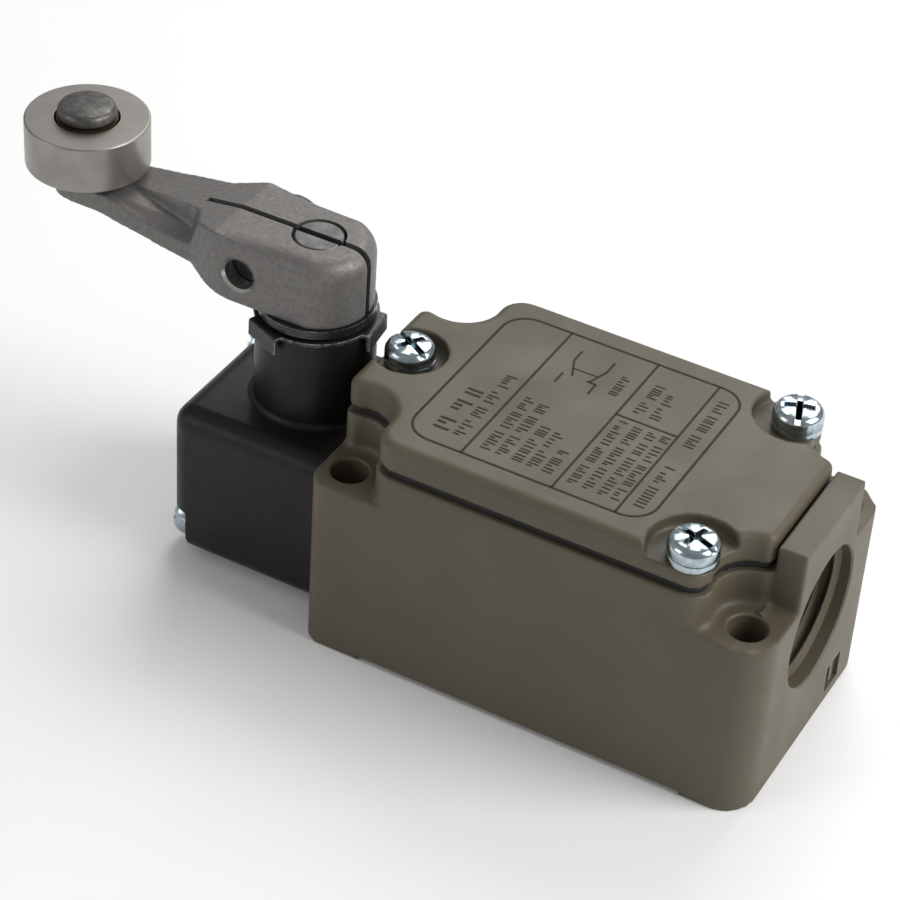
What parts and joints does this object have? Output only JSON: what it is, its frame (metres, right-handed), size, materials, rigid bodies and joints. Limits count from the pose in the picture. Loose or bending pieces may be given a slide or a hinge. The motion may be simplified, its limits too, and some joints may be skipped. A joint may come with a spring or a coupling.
{
  "type": "limit switch",
  "caption": "Box-shaped limit switch in a die-cast case, with a threaded conduit entry and a side roller lever that turns on a black operating head.",
  "frame": {"origin": "centre of the four mounting holes, on the flat mounting face", "axes": "+Z out of the mounting face towards the cover and the lever, +X from the operating head towards the conduit entry, +Y across the width"},
  "size_m": [0.1244, 0.04, 0.0597],
  "materials": {
    "painted_casting": "satin warm grey baked paint on die-cast metal",
    "black_casting": "satin black paint on die-cast metal",
    "black_steel": "black oxide sheet steel",
    "rubber": "black moulded rubber",
    "zinc_steel": "bright zinc-plated steel",
    "raw_casting": "raw grey die-cast metal, mottled",
    "machined_steel": "turned stainless steel",
    "dark_steel": "dark riveted steel",
    "bronze": "sintered bronze",
    "brass": "drawn brass strip",
    "spring_steel": "spring wire",
    "phenolic": "dark phenolic moulding",
    "white_resin": "off-white resin moulding",
    "silver": "silver contact metal"
  },
  "bodies": {
    "root": {"body_casting": "painted_casting", "cover_gasket": "rubber", "cover_plate": "painted_casting", "head_gasket": "rubber", "head_casting": "black_casting", "indicator_plate": "black_steel", "shaft_seal": "rubber", "shaft_bearing": "bronze", "plunger_guide": "bronze", "plunger_spring": "spring_steel", "switch_case": "phenolic", "switch_lid": "white_resin", "button_spring": "spring_steel", "ground_washer": "zinc_steel", "ground_screw": "brass", "cover_screw_1": "zinc_steel", "cover_washer_1": "zinc_steel", "cover_screw_2": "zinc_steel", "cover_washer_2": "zinc_steel", "cover_screw_3": "zinc_steel", "cover_washer_3": "zinc_steel", "head_screw_1": "zinc_steel", "head_washer_1": "zinc_steel", "head_screw_2": "zinc_steel", "head_washer_2": "zinc_steel", "terminal_1": "brass", "terminal_screw_1": "zinc_steel", "terminal_2": "brass", "terminal_screw_2": "zinc_steel", "terminal_3": "brass", "terminal_screw_3": "zinc_steel", "terminal_4": "brass", "terminal_screw_4": "zinc_steel", "switch_screw_1": "zinc_steel", "switch_screw_2": "zinc_steel"},
    "lever": {"lever_arm": "raw_casting", "clamp_bolt": "dark_steel", "rotary_shaft": "machined_steel", "shaft_cam": "dark_steel", "shaft_ring": "spring_steel", "shaft_collar": "machined_steel", "roller_pin": "dark_steel", "roller_washer": "machined_steel"},
    "roller": {"roller": "machined_steel", "roller_bush": "bronze"},
    "plunger": {"operating_plunger": "machined_steel"},
    "button": {"switch_button": "white_resin", "contact_blade": "silver"}
  },
  "joints": [
    {"name": "lever_turn", "type": "hinge", "parent": "root", "child": "lever", "pos_m": [-0.0441, 0, 0.045], "axis": [0, 0, 1], "range_deg": [-45, 45], "stiffness_Nm_per_rad": 0.6},
    {"name": "roller_spin", "type": "hinge", "parent": "lever", "child": "roller", "pos_m": [-0.0816, 0, 0.054], "axis": [0, 0, 1], "continuous": true},
    {"name": "plunger_slide", "type": "slide", "parent": "root", "child": "plunger", "axis": [1, 0, 0], "range_m": [0, 0.0015], "stiffness_N_per_m": 800, "deforming": ["plunger_spring"]},
    {"name": "button_slide", "type": "slide", "parent": "root", "child": "button", "axis": [1, 0, 0], "range_m": [0, 0.0015], "stiffness_N_per_m": 300, "deforming": ["button_spring"]}
  ],
  "couplings": [
    {"joint": "button_slide", "follows": "plunger_slide", "ratio": 1}
  ]
}
